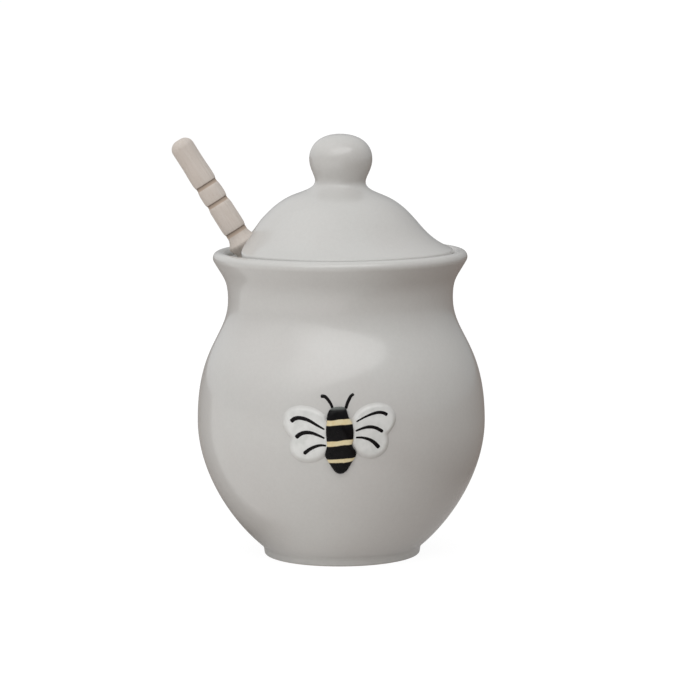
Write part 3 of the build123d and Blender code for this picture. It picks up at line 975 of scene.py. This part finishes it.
dipper_rows = dipper_profile()
across_one = DIPPER_DOWN.orthogonal().normalized()
across_two = DIPPER_DOWN.cross(across_one)
dipper_columns = []
grain_x, grain_y = [], []
for step in range(DIPPER_COLUMNS):
    angle = 2 * pi * step / DIPPER_COLUMNS
    aside = across_one * cos(angle) + across_two * sin(angle)
    dipper_columns.append([DIPPER_TIP + DIPPER_DOWN * along + aside * radius
                           for along, radius in dipper_rows])
    grain_x += [radius * cos(angle) for along, radius in dipper_rows]
    grain_y += [radius * sin(angle) for along, radius in dipper_rows]
dipper_points, dipper_faces = spun(dipper_columns)
dipper_values = {
    "grain_x": grain_x,
    "grain_y": grain_y,
    "along": [along for along, radius in dipper_rows] * DIPPER_COLUMNS,
    "groove_shadow": [groove_shadow_at(along) for along, radius in dipper_rows] * DIPPER_COLUMNS,
    "recess_shade": [recess_shade_at(along, radius) for along, radius in dipper_rows] * DIPPER_COLUMNS,
}
dipper_body = add_piece("dipper_body", dipper_points, dipper_faces, (wood,), "dipper",
                        values=dipper_values)
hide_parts("dipper")

# ---------------------------------------------------------------- studio
# Lengths in this section are metres.
WHITE = (1.0, 1.0, 1.0, 1.0)
FLOOR_SIZE = 60.0
PAPER, PAPER_GLOW = (0.14, 0.14, 0.14, 1.0), 0.93

# The table as the glaze mirrors it and as its bounce lights the pot: pale, with painted shade
# # behind a straight edge on the left and darker painted shade towards the right
TABLE_PALE = (0.825, 0.797, 0.775, 1.0)
TABLE_PAINTED_SHADE_LEFT = (0.37, 0.34, 0.32, 1.0)
TABLE_PAINTED_SHADE_RIGHT = (0.27, 0.23, 0.205, 1.0)
TABLE_MIRRORED = 0.32           # share of the white ground that gloss sees in the pale table
# The left painted shade's edge lies where LEFT_SKEW * x + y is in LEFT_EDGE, and its right end in
# LEFT_END
LEFT_SKEW, LEFT_EDGE, LEFT_END = 0.75, (-0.0595, -0.0515), (-0.018, -0.038)
RIGHT_EDGE = (-0.01, 0.09)

ground = Shader("studio_floor")
spot = ground.node("SeparateXYZ", {0: ground.place()}).outputs
painted_shade_behind = ground.spread(ground.math("MULTIPLY_ADD", spot["X"], LEFT_SKEW, spot["Y"]), LEFT_EDGE)
painted_shade_behind = ground.math("MULTIPLY", painted_shade_behind, ground.spread(spot["X"], LEFT_END))
painted_shade_beside = ground.spread(spot["X"], RIGHT_EDGE)
# Painted shade on the table: the pot gets it in bounced light and reflections, and the camera sees
# the white ground
shade = ground.mix(painted_shade_behind, TABLE_PALE, TABLE_PAINTED_SHADE_LEFT)
shade = ground.mix(painted_shade_beside, shade, TABLE_PAINTED_SHADE_RIGHT)
table = ground.node("BsdfDiffuse", {"Color": shade})
paper = ground.node("BsdfDiffuse", {"Color": PAPER})
glow = ground.node("Emission", {"Color": WHITE, "Strength": PAPER_GLOW})
backdrop = ground.node("AddShader", {0: paper.outputs[0], 1: glow.outputs[0]})
mirrored = ground.spread(ground.math("MAXIMUM", painted_shade_behind, painted_shade_beside), (0.0, 1.0), (TABLE_MIRRORED, 0.0))
mirrored = ground.math("MULTIPLY", ground.node("LightPath").outputs["Is Glossy Ray"], mirrored)
seen = ground.math("ADD", ground.seen_directly(), mirrored, clamped=True)
mixed = ground.node("MixShader", {0: seen, 1: table.outputs[0], 2: backdrop.outputs[0]})
ground.put(ground.tree.nodes["Material Output"], "Surface", mixed.outputs[0])
ground.tree.nodes.remove(ground.surface)

half = FLOOR_SIZE / 2
floor_mesh = bpy.data.meshes.new("studio_floor")
floor_mesh.from_pydata([(-half, -half, 0), (half, -half, 0), (half, half, 0), (-half, half, 0)],
                       [], [(0, 1, 2, 3)])
floor_mesh.materials.append(ground.material)
floor = bpy.data.objects.new("studio_floor", floor_mesh)
scene.collection.objects.link(floor)

# One oval lamp in front, above and to the left, which fades out to its left end and its
# upper edge. FADES: the axis over the lamp, the span of it that fades, and from and to what.
LAMP_PLACE, LAMP_AIM, LAMP_TURN = Vector((-0.4, -0.87, 0.93)), Vector((-0.475, 0.0, 0.06)), 14
LAMP_WIDTH, LAMP_HEIGHT, LAMP_RADIANCE = 2.6, 0.95, 1.4
LAMP_FADES = (("X", (0.0, 0.7), (0.0, 1.0)), ("Y", (0.55, 1.0), (1.0, 0.0)))

lamp_data = bpy.data.lights.new("softbox_front", "AREA")
lamp_data.shape = "ELLIPSE"
lamp_data.size, lamp_data.size_y = LAMP_WIDTH, LAMP_HEIGHT
lamp_data.energy = LAMP_RADIANCE * LAMP_WIDTH * LAMP_HEIGHT * pi * pi / 4
lamp_data.use_nodes = True
lamp_nodes = Nodes(lamp_data.node_tree)
over = lamp_nodes.node("SeparateXYZ", {
    0: lamp_nodes.node("NewGeometry").outputs["Parametric"]}).outputs
fades = [lamp_nodes.spread(over[axis], span, to, "SMOOTHSTEP") for axis, span, to in LAMP_FADES]
lamp_nodes.put(lamp_nodes.tree.nodes["Emission"], "Strength", lamp_nodes.math("MULTIPLY", *fades))
lamp = bpy.data.objects.new("softbox_front", lamp_data)
scene.collection.objects.link(lamp)
lamp.location = LAMP_PLACE
aimed = (LAMP_AIM - LAMP_PLACE).to_track_quat("-Z", "Y")
lamp.rotation_euler = (aimed @ Quaternion((0, 0, 1), radians(LAMP_TURN))).to_euler()

# The room's even light, then soft lobes of light: azimuth from the camera's side and
# elevation, angles where full strength ends and where it has faded out, and strength,
# which is below 0 where the room is darker
ROOM = 0.375
LOBES = (
    (0, 90, 20, 105, 0.325),
    (-70, 45, 15, 50, 0.315),
    (-135, 8, 5, 45, 0.2),
    (150, 8, 5, 50, -0.12),
)

world = bpy.data.worlds.new("studio_world")
world.use_nodes = True
scene.world = world
sky = Nodes(world.node_tree)
direction = sky.node("TexCoord").outputs["Generated"]
room = ROOM
for azimuth, elevation, inner, outer, strength in LOBES:
    flat = cos(radians(elevation))
    towards = (flat * sin(radians(azimuth)), -flat * cos(radians(azimuth)),
               sin(radians(elevation)))
    facing = sky.node("VectorMath", {0: direction, 1: towards},
                      operation="DOT_PRODUCT").outputs["Value"]
    reach = (cos(radians(outer)), cos(radians(inner)))
    room = sky.math("ADD", room, sky.spread(facing, reach, (0.0, strength), "SMOOTHSTEP"))
level = sky.node("Mix", {"Factor": sky.seen_directly(), "A": room, "B": 1.0}, data_type="FLOAT")
background = sky.tree.nodes["Background"]
sky.put(background, "Strength", level.outputs["Result"])
sky.put(background, "Color", WHITE)

scene.view_settings.view_transform = "Standard"
